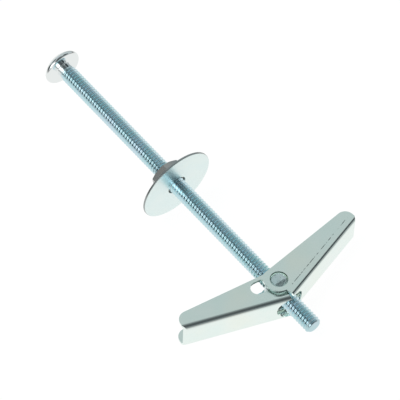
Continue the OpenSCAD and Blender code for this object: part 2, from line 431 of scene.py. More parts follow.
def settled(name: str, blank: Blank, place: Matrix, edge: Optional[Edge]) -> bpy.types.Object:
    """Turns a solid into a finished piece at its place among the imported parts.

    Args:
        name: The piece's name.
        blank: The solid, in millimetres.
        place: Matrix from the solid's own frame to the row's.
        edge: How its edges are broken, or None to leave them.

    Returns:
        The piece, with its object at the origin.
    """
    piece = bpy.data.objects.new(name, blank.mesh(name))
    bpy.context.scene.collection.objects.link(piece)
    piece.data.shade_smooth()
    piece.data.set_sharp_from_angle(angle=math.radians(35))
    if edge:
        broken = piece.modifiers.new("edges", "BEVEL")
        broken.width, broken.segments = edge.width, edge.segments
        broken.limit_method, broken.angle_limit = "ANGLE", math.radians(edge.angle)
        broken.use_clamp_overlap = True
        broken.miter_outer = "MITER_ARC"
        even = piece.modifiers.new("even", "WEIGHTED_NORMAL")
        even.keep_sharp = False
    mesh = evaluated_mesh(piece)
    piece.modifiers.clear()
    old, piece.data = piece.data, mesh
    bpy.data.meshes.remove(old)
    mesh.name = name
    mesh.transform(place)
    return piece


# ---- finishes ----


@dataclass(frozen=True)
class DieMark:
    """A broken scratch that a folding die left, as a straight line on a flat face."""

    start: Vector
    end: Vector
    facing: Vector
    half_width: float = 0.17
    depth: float = 0.85
    tint: Colour = (0.16, 0.18, 0.18)

    def mask(self, tree: Tree, place: Channel) -> Channel:
        """How much of the scratch lies at a place.

        Args:
            tree: The finish's node tree.
            place: Object coordinates.

        Returns:
            A channel that is 1 in the scratch and 0 away from it.
        """
        run = self.end - self.start
        along, length = run.normalized(), run.length
        side = self.facing.cross(along)
        offset = tree.vector("SUBTRACT", place, tuple(self.start))
        across, up, far = (tree.dot(offset, axis) for axis in (side, self.facing, along))
        width = self.half_width * MM
        line = 1.0 - tree.ease(tree.maths("ABSOLUTE", across), 0.4 * width, 1.3 * width)
        face = 1.0 - tree.ease(tree.maths("ABSOLUTE", up), 0.2 * MM, 0.4 * MM)
        ends = tree.ease(far, 0.0, 2.0 * MM) * (1.0 - tree.ease(far, length - 2.0 * MM, length))
        broken = tree.ease(ZincPlate.cloud(tree, place, 1.1, 2.0, shift=17.0), 0.42, 0.56)
        return line * face * ends * broken


@dataclass(frozen=True)
class PaintedPaleZone:
    """A part of a piece, beyond a plane, painted paler and more neutral than the rest of its plate:
    a painted reflection, for the whiter look of a surface that reflects only once.
    """

    point: Vector
    axis: Vector
    tint: Colour = (0.90, 0.92, 0.925)
    depth: float = 1.0

    def mask(self, tree: Tree, place: Channel) -> Channel:
        """1 behind the plane and 0 in front of it, with a soft passage of two millimetres."""
        offset = tree.vector("SUBTRACT", place, tuple(self.point))
        return 1.0 - tree.ease(tree.dot(offset, self.axis), -1.0 * MM, 1.0 * MM)


@dataclass(frozen=True)
class PaintedRimShade:
    """The sheared rim of a round sheet piece, painted darker than its faces: painted shade along
    the rim.
    """

    point: Vector
    axis: Vector
    radius: float
    tint: Colour = (0.30, 0.31, 0.31)
    depth: float = 0.85

    def mask(self, tree: Tree, place: Channel) -> Channel:
        """1 on the rim and 0 on the faces.

        Args:
            tree: The finish's node tree.
            place: Object coordinates.

        Returns:
            A channel that grows over the last tenth of a millimetre.
        """
        offset = tree.vector("SUBTRACT", place, tuple(self.point))
        lift = tree.vector("SCALE", tuple(self.axis), tree.dot(offset, self.axis))
        away = tree.vector("LENGTH", tree.vector("SUBTRACT", offset, lift), output="Value")
        return tree.ease(away, (self.radius - 0.16) * MM, (self.radius - 0.06) * MM)


Mark = Union[DieMark, PaintedPaleZone, PaintedRimShade]


@dataclass(frozen=True)
class ZincPlate:
    """Bright zinc plate over steel, with the faint colours of its passivation."""

    name: str
    tint: Colour
    patch_tint: Colour
    film_tint: Colour
    roughness: float = 0.16
    patch: float = 5.0
    film: float = 0.35
    grain: float = 0.25
    grain_size: float = 0.12

    def material(self, marks: Sequence[Mark] = ()) -> bpy.types.Material:
        """Builds the finish.

        Args:
            marks: Scratches, painted paler zones (painted reflection) and painted dark rims
                (painted shade) that show in it.

        Returns:
            A material that reads object coordinates, so it stays with its piece.
        """
        made = bpy.data.materials.new(self.name)
        made.use_nodes = True
        tree = Tree(made.node_tree)
        place = tree.out(tree.add("ShaderNodeTexCoord"), "Object")
        cloud = self.cloud(tree, place, self.patch, 3.0)
        film = self.cloud(tree, place, 1.7 * self.patch, 1.0, shift=31.0)
        speck = self.cloud(tree, place, 0.25, 2.0, shift=7.0)
        grain = self.cloud(tree, place, self.grain_size, 4.0, shift=3.0)
        colour = tree.blend(tree.ease(cloud, 0.35, 0.68), self.tint, self.patch_tint)
        colour = tree.blend(tree.ease(film, 0.5, 0.8) * self.film, colour, self.film_tint)
        dark = tuple(0.86 * c for c in self.tint)
        colour = tree.blend(tree.ease(speck, 0.62, 0.8) * 0.25, colour, dark)
        for mark in marks:
            colour = tree.blend(mark.mask(tree, place) * mark.depth, colour, mark.tint)
        rough = self.roughness + (cloud - 0.5) * 0.06 + (grain - 0.5) * 0.08
        relief = {"Distance": 0.1 * MM, "Height": grain * self.grain_size * self.grain}
        bump = tree.made("ShaderNodeBump", {"Strength": 1.0, **relief})
        look = {"Base Color": colour, "Metallic": 1.0, "Roughness": rough, "Normal": bump}
        shader = tree.made("ShaderNodeBsdfPrincipled", look)
        tree.add("ShaderNodeOutputMaterial", None, {"Surface": shader})
        made.diffuse_color = (*self.tint, 1.0)
        return made

    @staticmethod
    def cloud(
        tree: Tree, place: Channel, size: float, detail: float, shift: float = 0.0
    ) -> Channel:
        """Noise with lumps of a size in millimetres."""
        moved = tree.vector("ADD", place, (shift, 0.6 * shift, 0.3 * shift)) if shift else place
        sockets = {"Vector": moved, "Scale": 1.0 / (size * MM), "Detail": detail}
        return tree.made("ShaderNodeTexNoise", sockets)


FINISHES: Dict[str, ZincPlate] = {
    finish.name: finish
    for finish in (
        ZincPlate(
            "screw_zinc", (0.58, 0.80, 0.85), (0.63, 0.80, 0.87), (0.68, 0.77, 0.90), 0.06,
            grain=0.03,
        ),
        ZincPlate(
            "nut_zinc", (0.40, 0.41, 0.41), (0.46, 0.46, 0.45), (0.52, 0.48, 0.44), 0.24,
            grain=0.1,
        ),
        ZincPlate(
            "washer_zinc", (0.84, 0.95, 0.95), (0.87, 0.96, 0.95), (0.83, 0.95, 0.96), 0.34, 7.0,
            grain=0.1,
        ),
        ZincPlate(
            "trunnion_zinc", (0.74, 0.84, 0.84), (0.66, 0.80, 0.80), (0.78, 0.78, 0.70), 0.34,
            grain=0.05,
        ),
        ZincPlate(
            "spring_steel", (0.42, 0.44, 0.45), (0.50, 0.50, 0.50), (0.38, 0.36, 0.34), 0.3, 3.0
        ),
        ZincPlate(
            "wing_zinc", (0.88, 0.98, 0.95), (0.92, 0.99, 0.96), (0.96, 0.97, 0.86), 0.15, 8.0,
            grain=0.05,
        ),
    )
}


# ---- pieces ----


class Grower:
    """What a geometry node tree and its named inputs share."""

    @staticmethod
    def opened(name: str, sizes: Iterable[str], path: bool = False) -> Tuple[Tree, Sockets]:
        """Starts a tree.

        Args:
            name: The tree's name.
            sizes: Names of its number inputs.
            path: Whether it starts from a given mesh, "Path".

        Returns:
            The tree and its inputs by name.
        """
        group = bpy.data.node_groups.new(name, "GeometryNodeTree")
        given = [(size, "Float") for size in sizes] + [("Material", "Material")]
        if path:
            given.insert(0, ("Path", "Geometry"))
        group.interface.new_socket("Geometry", in_out="OUTPUT", socket_type="NodeSocketGeometry")
        for title, kind in given:
            group.interface.new_socket(title, in_out="INPUT", socket_type="NodeSocket" + kind)
        tree = Tree(group)
        entry = tree.add("NodeGroupInput")
        return tree, {title: tree.out(entry, title) for title, _ in given}

    @staticmethod
    def closed(tree: Tree, shape: Channel, finish: Channel) -> bpy.types.NodeTree:
        """Ends a tree: makes its instances real and sets the material."""
        real = tree.made("GeometryNodeRealizeInstances", {"Geometry": shape})
        sockets = {"Geometry": real, "Material": finish}
        tree.add("NodeGroupOutput", None, {0: tree.made("GeometryNodeSetMaterial", sockets)})
        return tree.tree


@dataclass
class RolledThread(Grower):
    """A rolled thread as a geometry node tree: one row of points for each step of its form."""

    length: float
    pitch: float = 1.27
    crest_radius: float = 3.175
    root_radius: float = 2.46
    neck_radius: float = 2.86
    plain_neck: float = 0.9
    run_out: float = 2.9
    tip_radius: float = 2.44
    columns: int = 52
    # Height at each share of a turn, from a crest to the next root.
    flank: Sequence[Point] = (
        (0.00, 1.000), (0.05, 0.978), (0.10, 0.910), (0.15, 0.800), (0.20, 0.654),
        (0.30, 0.346), (0.35, 0.200), (0.40, 0.092), (0.50, 0.000),
    )

    @property
    def form(self) -> List[Point]:
        """One whole turn of the form: the flank and its mirror image."""
        return [*self.flank, *((1.0 - p, h) for p, h in reversed(self.flank[1:-1]))]

    def tree(self) -> bpy.types.NodeTree:
        """Builds the node tree.

        Returns:
            A tree with a named input for each size of the thread.
        """
        tree, size = self.opened("rolled_thread", self.sizes())
        form = self.form
        steps = len(form)
        rows = (tree.maths("CEIL", size["Length"] / size["Pitch"]) + 2.0) * float(steps)
        columns = size["Columns"]
        counts = {"Vertices X": rows + 1.0, "Vertices Y": columns + 1.0}
        grid = tree.made("GeometryNodeMeshGrid", {"Size X": 1.0, "Size Y": 1.0, **counts})
        spot = tree.add(
            "ShaderNodeSeparateXYZ", None, {0: tree.made("GeometryNodeInputPosition", {})}
        )
        row = tree.maths("ROUND", (tree.out(spot, "X") + 0.5) * rows)
        share = tree.maths("ROUND", (tree.out(spot, "Y") + 0.5) * columns) / columns
        turn = tree.maths("FLOOR", (row + 0.5) / float(steps))
        step = row - turn * float(steps)
        phase, height = (
            tree.made(
                "GeometryNodeIndexSwitch",
                {"Index": step, **{i + 1: p[k] for i, p in enumerate(form)}},
                {"data_type": "FLOAT", "items": steps},
            )
            for k in (0, 1)
        )
        raw = (turn + phase + share - 1.5) * size["Pitch"]
        place = tree.maths("MINIMUM", tree.maths("MAXIMUM", raw, 0.0), size["Length"])
        thread = size["Root Radius"] + height * (size["Crest Radius"] - size["Root Radius"])
        grown = tree.ease(place, size["Plain Neck"], size["Run Out"])
        radius = size["Neck Radius"] + grown * (thread - size["Neck Radius"])
        radius = tree.maths("MINIMUM", radius, size["Tip Radius"] + (size["Length"] - place))
        angle = share * (2 * math.pi)
        across, up = (radius * tree.maths(turned, angle) for turned in ("COSINE", "SINE"))
        spread = tree.made("ShaderNodeCombineXYZ", {"X": place, "Y": across, "Z": up})
        bent = tree.made("GeometryNodeSetPosition", {"Geometry": grid, "Position": spread})
        weld = {"Geometry": bent, "Distance": WELD}
        return self.closed(tree, tree.made("GeometryNodeMergeByDistance", weld), size["Material"])

    def sizes(self) -> Dict[str, float]:
        """The tree's inputs by name."""
        return {
            "Length": self.length,
            "Pitch": self.pitch,
            "Crest Radius": self.crest_radius,
            "Root Radius": self.root_radius,
            "Neck Radius": self.neck_radius,
            "Plain Neck": self.plain_neck,
            "Run Out": self.run_out,
            "Tip Radius": self.tip_radius,
            "Columns": float(self.columns),
        }

    def shape(self, finish: bpy.types.Material) -> bmesh.types.BMesh:
        """The thread as a tube, open at both ends, from x = 0."""
        mesh = grown_mesh("thread", self.tree(), self.sizes(), finish, None)
        shape = bmesh.new()
        shape.from_mesh(mesh)
        bpy.data.meshes.remove(mesh)
        return shape


def grown_mesh(
    name: str,
    group: bpy.types.NodeTree,
    sizes: Mapping[str, float],
    finish: bpy.types.Material,
    path: Optional[bpy.types.Mesh],
) -> bpy.types.Mesh:
    """Runs a geometry node tree once and keeps its result as a plain mesh.

    Args:
        name: Name of the result.
        group: The tree.
        sizes: Values for its named inputs.
        finish: Material that the tree sets.
        path: Mesh that the tree starts from, or None.

    Returns:
        The result as a mesh, with the helper object gone.
    """
    holder = bpy.data.objects.new(name, path or bpy.data.meshes.new(name + "_seed"))
    step = holder.modifiers.new(name, "NODES")
    step.node_group = group
    known = {item.name: item.identifier for item in group.interface.items_tree}
    for key, value in sizes.items():
        step[known[key]] = value
    step[known["Material"]] = finish
    bpy.context.scene.collection.objects.link(holder)
    mesh = evaluated_mesh(holder)
    holder.modifiers.clear()
    discard(holder)
    return mesh


@dataclass
class MachineScrew:
    """Pan-headed screw with a slot and cross recess and a rolled thread up to its neck."""

    places: ScrewFrame
    finish: bpy.types.Material
    head_height: float = 5.1
    rim_height: float = 1.85
    lower_round: float = 0.9
    upper_round: float = 1.1
    seat: float = 0.45
    head_fillet: float = 0.4
    neck_start: float = 0.5
    slot: Tuple[float, float] = (1.6, 1.6)
    cross: Tuple[float, float, float] = (6.4, 1.9, 2.6)
    columns: int = 52

    def build(self) -> bpy.types.Object:
        """Makes the screw as one closed piece.

        Returns:
            The piece, in place.
        """
        low, high = self.places.span("machine_screw")
        thread = RolledThread(length=high.x - self.neck_start, columns=self.columns)
        shape = self.head(high.y, thread.neck_radius).shape
        joint = self.neck_start - 0.01
        caps = [f for f in shape.faces if min(v.co.x for v in f.verts) > joint]
        bmesh.ops.delete(shape, geom=caps, context="FACES_ONLY")
        stem = thread.shape(self.finish)
        bmesh.ops.translate(stem, verts=stem.verts, vec=(self.neck_start, 0, 0))
        passed = bpy.data.meshes.new("stem")
        stem.to_mesh(passed)
        stem.free()
        shape.from_mesh(passed)
        bpy.data.meshes.remove(passed)
        bmesh.ops.remove_doubles(shape, verts=shape.verts, dist=0.004)
        rim = [e for e in shape.edges if e.is_boundary]
        bmesh.ops.contextual_create(shape, geom=rim)
        bmesh.ops.recalc_face_normals(shape, faces=shape.faces)
        return settled("machine_screw_body", Blank(shape), self.places.matrix, None)

    def head(self, radius: float, neck: float) -> Blank:
        """The head with its recess, down to the start of the thread.

        Args:
            radius: Radius of the head.
            neck: Radius of the plain neck.

        Returns:
            The closed solid.
        """
        rise = self.head_height - self.rim_height
        dome = (radius**2 + rise**2) / (2 * rise)
        middle = dome - self.head_height
        up, down, fillet = self.upper_round, self.lower_round, self.head_fillet
        set_back = math.sqrt((dome - up) ** 2 - (radius - up) ** 2)
        sweep = math.degrees(math.atan2(radius - up, set_back))
        ball = [(middle - x, r) for x, r in arc((0, 0), dome, 0, sweep, 24)[1:]]
        brow = [(middle - x, r) for x, r in arc((set_back, radius - up), up, sweep, 90, 4)[1:]]
        lip = arc((-self.seat - down, radius - down), down, 90, 0, 8)
        root = fillet - self.seat
        throat = [(root - x, neck + fillet - r) for x, r in arc((0, 0), fillet, 0, 90, 5)]
        profile = [(-self.head_height, 0.0)] + ball + brow + lip
        profile += [(-self.seat, neck + fillet + 1.2)] + throat + [(self.neck_start, neck)]
        head = Blank.turned(profile, self.columns)
        slot_w, slot_d = self.slot
        span, arm, depth = self.cross
        top = -self.head_height
        head = head.fused(Fuse.CUT, self.bar(top - 1, top + slot_d, 2 * radius + 2, slot_w))
        wall = depth - arm / 2
        cross = self.bar(top - 1.3, top + wall, span, arm)
        cross = cross.fused(Fuse.JOIN, self.bar(top - 1.2, top + wall - 0.003, arm, span))
        point = [(top - 1.1, 0.0), (top - 1.1, arm / 2 - 0.02), (top + wall, arm / 2 - 0.02)]
        point += [(top + depth, 0.12), (top + depth, 0.0)]
        cross = cross.fused(Fuse.JOIN, Blank.turned(point, 32))
        return head.fused(Fuse.CUT, cross)

    @staticmethod
    def bar(start: float, end: float, wide: float, high: float) -> Blank:
        """A bar along X, wide along Y and high along Z."""
        half = wide / 2
        outline = [(start, -half), (end, -half), (end, half), (start, half)]
        return Blank.prism(outline, -high / 2, high / 2)


@dataclass
class HexNut:
    """Hexagon nut with both faces chamfered and a countersunk bore."""

    places: ScrewFrame
    flats: float = 11.1
    turn: float = 12.0
    chamfer: float = 0.5
    face_set: float = 0.15
    bore: float = 3.26
    sink: float = 0.45

    def build(self) -> bpy.types.Object:
        """Makes the nut.

        Returns:
            The piece, in place.
        """
        low, high = self.places.span("hex_nut")
        corner = self.flats / 2 / math.cos(math.radians(30))
        face = self.flats / 2 - self.face_set
        wide = corner + 1
        rise = self.chamfer * (wide - face) / (corner - face)
        a, b = low.x, high.x
        outline = arc((0, 0), corner, 0, 300, 5)
        # The prism stands on Z. Turned about Y it runs along X, with its own X towards -Z.
        turn = Matrix.Rotation(math.radians(self.turn), 4, "Z")
        stand = Matrix.Rotation(math.radians(90), 4, "Y") @ turn
        solid = Blank.prism(outline, a - 1, b + 1).moved(stand)
        rim = [(a, 0.0), (a, face), (a + rise, wide), (b - rise, wide), (b, face), (b, 0.0)]
        solid = solid.fused(Fuse.KEEP, Blank.turned(rim, 96))
        s = self.sink
        hole = [(a - 1, 0.0), (a - 1, self.bore + s + 1), (a + s, self.bore)]
        hole += [(b - s, self.bore), (b + 1, self.bore + s + 1), (b + 1, 0.0)]
        solid = solid.fused(Fuse.CUT, Blank.turned(hole, 64))
        return settled("hex_nut_body", solid, self.places.matrix, Edge(0.14, 3, 25))


@dataclass
class FlatWasher:
    """Wide washer punched from sheet, which hangs a little aslant on the screw."""

    places: ScrewFrame
    hole: float = 3.825
    crisp: float = 0.08
    rounded: float = 0.22
    lean: float = 2.4
    lean_axis: Tuple[float, float, float] = (0.0, 0.910, 0.415)
    slack: float = 0.25
    thinner: float = 0.2
    segments: int = 160

    def middle(self) -> Vector:
        """Its middle as it lies in the row."""
        low, high = self.places.span("flat_washer")
        return self.places.matrix @ Vector(((low.x + high.x) / 2 + self.slack, 0.0, 0.0))

    def radius(self) -> float:
        """Its outer radius in millimetres."""
        return self.places.span("flat_washer")[1].y

    def build(self) -> bpy.types.Object:
        """Makes the washer.

        Returns:
            The piece, in place.
        """
        low, high = self.places.span("flat_washer")
        a, b, rim = low.x + self.thinner, high.x, self.radius()
        r, c = self.rounded, self.crisp
        profile = [(x, y) for x, y in arc((a + c, rim - c), c, 180, 90, 3)]
        profile += [(b + x, rim + y) for x, y in arc((-r, -r), r, 90, 0, 5)]
        profile += [(b + x, self.hole + y) for x, y in arc((-c, c), c, 0, -90, 3)]
        profile += [(a + x, self.hole + y) for x, y in arc((r, r), r, 270, 180, 5)]
        middle = Matrix.Translation(((a + b) / 2, 0, 0))
        hung = Matrix.Rotation(math.radians(self.lean), 4, Vector(self.lean_axis))
        solid = Blank.turned(profile, self.segments, bored=True)
        solid.moved(Matrix.Translation((self.slack, 0, 0)) @ middle @ hung @ middle.inverted())
        return settled("flat_washer_body", solid, self.places.matrix, Edge(0.0, 1, 80))


@dataclass
class Trunnion:
    """Threaded barrel with a sheared stub at each end for the wings to turn on."""

    places: ScrewFrame
    barrel: float = 4.7
    stub: float = 2.8
    bore: float = 3.26
    chamfer: float = 0.35
    shear: float = 0.24
    stub_round: float = 0.45
    facet_from: float = 0.9
    facet_slope: float = 0.5
    half_barrel: float = 3.475
    drill_reach: float = 20.0
    ring_step: float = 0.2

    def torn(self, x: float, y: float, seed: float) -> float:
        """How deep a sheared end lies: streaks across it and a facet towards the screw's tip.

        Args:
            x: Place along the screw, from the stub's middle.
            y: Place across the screw.
            seed: Shifts the streaks, so that the two ends differ.

        Returns:
            The depth in millimetres.
        """
        across, along = 0.61 * x + 0.79 * y, 0.61 * y - 0.79 * x
        streak = noise.noise(Vector((1.15 * across, 0.3 * along, seed)))
        fine = noise.noise(Vector((2.7 * across, 0.6 * along, seed + 5)))
        facet = self.facet_slope * max(0.0, x - self.facet_from)
        return max(0.0, self.shear * (0.5 + streak + 0.35 * fine)) + facet

    def build(self) -> bpy.types.Object:
        """Makes the trunnion.

        Returns:
            The piece, in place.
        """
        low, high = self.places.span("trunnion_nut")
        half, step = self.half_barrel, self.ring_step
        centre = self.places.local(self.places.hinge)
        c, s, b, e = self.chamfer, self.stub, self.barrel, self.stub_round
        radii = [step * i for i in range(1, int((s - e) / step) + 1)]
        profile: List[Point] = [(low.z, 0.0)] + [(low.z, r) for r in radii]
        profile += arc((low.z + e, s - e), e, 180, 90, 6)
        profile += [(-half, s), (-half, b - c), (-half + c, b)]
        profile += [(half - c, b), (half, b - c), (half, s)]
        profile += arc((high.z - e, s - e), e, 90, 0, 6)
        profile += [(high.z, r) for r in reversed(radii)] + [(high.z, 0.0)]
        solid = Blank.turned(profile, 96)
        for vert in solid.shape.verts:
            end, sign = (low.z, 1) if vert.co.x < 0 else (high.z, -1)
            if abs(vert.co.x - end) < e:
                vert.co.x += sign * self.torn(-vert.co.z, vert.co.y, end)
        stand = Matrix.Translation((centre.x, 0, 0)) @ Matrix.Rotation(math.radians(-90), 4, "Y")
        solid.moved(stand)
        start, end = centre.x - self.drill_reach, centre.x + self.drill_reach
        drill = [(start, 0.0), (start, self.bore), (end, self.bore), (end, 0.0)]
        solid = solid.fused(Fuse.CUT, Blank.turned(drill, 64))
        return settled("trunnion_body", solid, self.places.matrix, Edge(0.08, 2, 40))


@dataclass
class WireSpring(Grower):
    """Spring wire swept along its path by a geometry node tree."""

    places: ScrewFrame
    finish: bpy.types.Material
    wire: float = 0.25
    coil: float = 3.2
    upper: float = -3.775
    lower: float = -4.325
    bend: float = 0.3
    steps: int = 40

    def tree(self) -> bpy.types.NodeTree:
        """Builds the tree that rounds a path's corners and sweeps the wire along it."""
        tree, size = self.opened("swept_wire", ("Wire Radius", "Bend Radius"), path=True)
        path = tree.made("GeometryNodeMeshToCurve", {"Mesh": size["Path"]})
        corners_cut = {"Curve": path, "Radius": size["Bend Radius"], "Count": 6}
        bent = tree.made("GeometryNodeFilletCurve", corners_cut, {"mode": "POLY"})
        around = {"Resolution": 14, "Radius": size["Wire Radius"]}
        ring = tree.made("GeometryNodeCurvePrimitiveCircle", around)
        swept = tree.made(
            "GeometryNodeCurveToMesh", {"Curve": bent, "Profile Curve": ring, "Fill Caps": True}
        )
        return self.closed(tree, swept, size["Material"])

    def build(self, right_end: Vector, left_end: Vector) -> bpy.types.Object:
        """Makes the spring.

        Args:
            right_end: End of the leg inside the right wing's web.
            left_end: End of the leg inside the left wing's web.

        Returns:
            The piece, in place.
        """
        centre = self.places.local(self.places.hinge)
        points = [Vector((right_end.x, right_end.y, self.upper))]
        for i in range(self.steps + 1):
            angle = -2 * math.pi * i / self.steps
            drop = self.upper + (self.lower - self.upper) * i / self.steps
            spot = (centre.x + self.coil * math.cos(angle), self.coil * math.sin(angle), drop)
            points.append(Vector(spot))
        points.append(Vector((left_end.x, left_end.y, self.lower)))
        path = bpy.data.meshes.new("spring_path")
        path.from_pydata(points, [(i, i + 1) for i in range(len(points) - 1)], [])
        sizes = {"Wire Radius": self.wire, "Bend Radius": self.bend}
        mesh = grown_mesh("spring", self.tree(), sizes, self.finish, path)
        shape = bmesh.new()
        shape.from_mesh(mesh)
        bpy.data.meshes.remove(mesh)
        return settled("torsion_spring_body", Blank(shape).sound(), self.places.matrix, None)


@dataclass
class Wing:
    """One folded wing: a tapered channel with ears, a notch for the screw and a window."""

    places: ScrewFrame
    side: Side
    angle: float
    reach: float = 37.9
    width: float = 12.0
    sheet: float = 0.9
    outer_fold: float = 1.35
    inner_fold: float = 2.0
    bearing_set: float = 5.2
    web_set: float = 7.9
    taper: float = 10.9
    web_lap: float = 0.7
    ear: float = 4.9
    ear_corner: float = 3.5
    ear_sweep: float = 1.0
    tip_corner: float = 3.4
    end_bend: float = 1.3
    notch: float = 4.9
    nest_shift: float = 0.95
    hinge_hole: float = 3.2
    mark_set: float = 3.0
    window: Tuple[float, float, float, float] = (5.0, 4.4, 10.1, 1.3)

    def web_x(self, reach: float) -> float:
        """Place of the web's outside at a reach from the hinge."""
        return self.web_set - reach * math.tan(math.radians(self.taper))

    def place(self) -> Matrix:
        """From the wing's own plane to the row."""
        hinge = self.places.local(self.places.hinge)
        turn = Matrix.Rotation(math.radians(self.side.value * self.angle), 4, "Z")
        flip = Matrix.Rotation(math.pi if self.side is Side.LEFT else 0.0, 4, "X")
        shift = Matrix.Translation((0, 0, self.nest_shift))
        return self.places.matrix @ Matrix.Translation(hinge) @ turn @ flip @ shift

    def leg_end(self, reach: float) -> Vector:
        """Where a leg of the spring meets the inside of the web, in the screw's frame."""
        hinge = self.places.local(self.places.hinge)
        x = self.web_x(reach) - (self.sheet + 0.25) / math.cos(math.radians(self.taper)) - 0.15
        a, s = math.radians(self.angle), self.side.value
        along = hinge.x + x * math.cos(a) - reach * math.sin(a)
        return Vector((along, s * (x * math.sin(a) + reach * math.cos(a)), 0.0))

    def die_mark(self) -> DieMark:
        """The die's scratch on the outer cheek, beside the fold."""
        place = self.place()
        ends = [
            place @ Vector((self.web_x(reach) - self.mark_set, reach, self.width / 2))
            for reach in (0.5, self.reach - 1.5)
        ]
        return DieMark(ends[0], ends[1], self.places.hinge_line)

    def outline(self) -> List[Point]:
        """Outline of a cheek with its ear, seen along the hinge."""
        bear, lap, reach = self.bearing_set, self.web_lap, self.reach
        sweep_y = -lap - self.ear_sweep
        sweep_x = math.sqrt((self.ear + self.ear_sweep) ** 2 - sweep_y**2)
        meet = math.degrees(math.atan2(sweep_y, sweep_x))
        end_x = self.web_x(reach) - self.end_bend
        tip = self.tip_corner
        points = arc((tip - bear, reach - tip), tip, 180, 90, 16)
        points += [(end_x, reach), (end_x + 4, reach - 3), (self.web_set + 4, 0)]
        points += [(self.web_set + 4, -lap)]
        points += arc((sweep_x, sweep_y), self.ear_sweep, 90, 180 + meet, 8)
        points += arc((0, 0), self.ear, meet, -90, 24)[1:]
        corner = (self.ear_corner - bear, self.ear_corner - self.ear)
        points += arc(corner, self.ear_corner, -90, -180, 14)
        return points

    def section(self) -> List[Point]:
        """Section of the folded sheet: x is the depth and y runs along the hinge."""
        depth = self.web_set + self.bearing_set + self.reach
        half, t = self.width / 2, self.sheet
        low, high = self.inner_fold, self.outer_fold
        points = [(-depth, -half)]
        points += arc((-low, -half + low), low, -90, 0, 12)
        points += arc((-high, half - high), high, 0, 90, 12)
        points += [(-depth, half), (-depth, half - t)]
        low_in, high_in = max(low - t, 0.2), max(high - t, 0.2)
        points += arc((-t - high_in, half - t - high_in), high_in, 90, 0, 8)
        points += arc((-t - low_in, -half + t + low_in), low_in, 0, -90, 8)
        points += [(-depth, -half + t)]
        return points

    def window_outline(self) -> List[Point]:
        """Oblong opening with one round end."""
        width, start, end, margin = self.window
        r = width / 2
        small = r / 3
        mid = margin + r - self.bearing_set
        points = arc((mid, end - r), r, 0, 180, 24)
        points += arc((mid - r + small, start + small), small, 180, 270, 6)
        points += arc((mid + r - small, start + small), small, 270, 360, 6)
        return points

    def build(self) -> bpy.types.Object:
        """Makes the wing.

        Returns:
            The piece, in place.
        """
        span = 2 * self.reach
        sheet = Blank.prism(self.section(), -span, span)
        # The section's x stays, its y becomes the hinge's Z, and it is drawn along the wing.
        lay = Matrix.Rotation(math.radians(90), 4, "X")
        tilt = Matrix.Rotation(math.radians(self.taper), 4, "Z")
        sheet.moved(Matrix.Translation((self.web_set, 0, 0)) @ tilt @ lay)
        tall = self.width / 2 + 1
        wing = sheet.fused(Fuse.KEEP, Blank.prism(self.outline(), -tall, tall))
        hole = Blank.prism(arc((0, 0), self.hinge_hole, 0, 360 - 7.5, 47), -2 * tall, 2 * tall)
        wing = wing.fused(Fuse.CUT, hole)
        cut = Blank.prism(self.window_outline(), -tall, -tall + self.sheet + 2)
        wing = wing.fused(Fuse.CUT, cut)
        start, end = -self.inner_fold - 1, 2
        drill = [(start, 0.0), (start, self.notch), (end, self.notch), (end, 0.0)]
        punch = Blank.turned(drill, 72)
        aim = Matrix.Translation((0, -self.web_lap / 2, 0))
        punch.moved(Matrix.Translation((self.web_set, 0, 0)) @ tilt @ aim)
        wing = wing.fused(Fuse.CUT, punch)
        name = "wing_right_body" if self.side is Side.RIGHT else "wing_left_body"
        return settled(name, wing, self.place(), Edge(0.11, 2, 32))


# ---- studio ----


@dataclass(frozen=True)
class Panel:
    """A soft round area of the sky, by its compass angle from +X and its angle from straight up."""

    compass: float
    lean: float
    reach: float
    edge: float
    tone: Colour

    @property
    def towards(self) -> Vector:
        """Direction of its middle."""
        turn, lean = math.radians(self.compass), math.radians(self.lean)
        across = math.sin(lean)
        return Vector((across * math.cos(turn), across * math.sin(turn), math.cos(lean)))


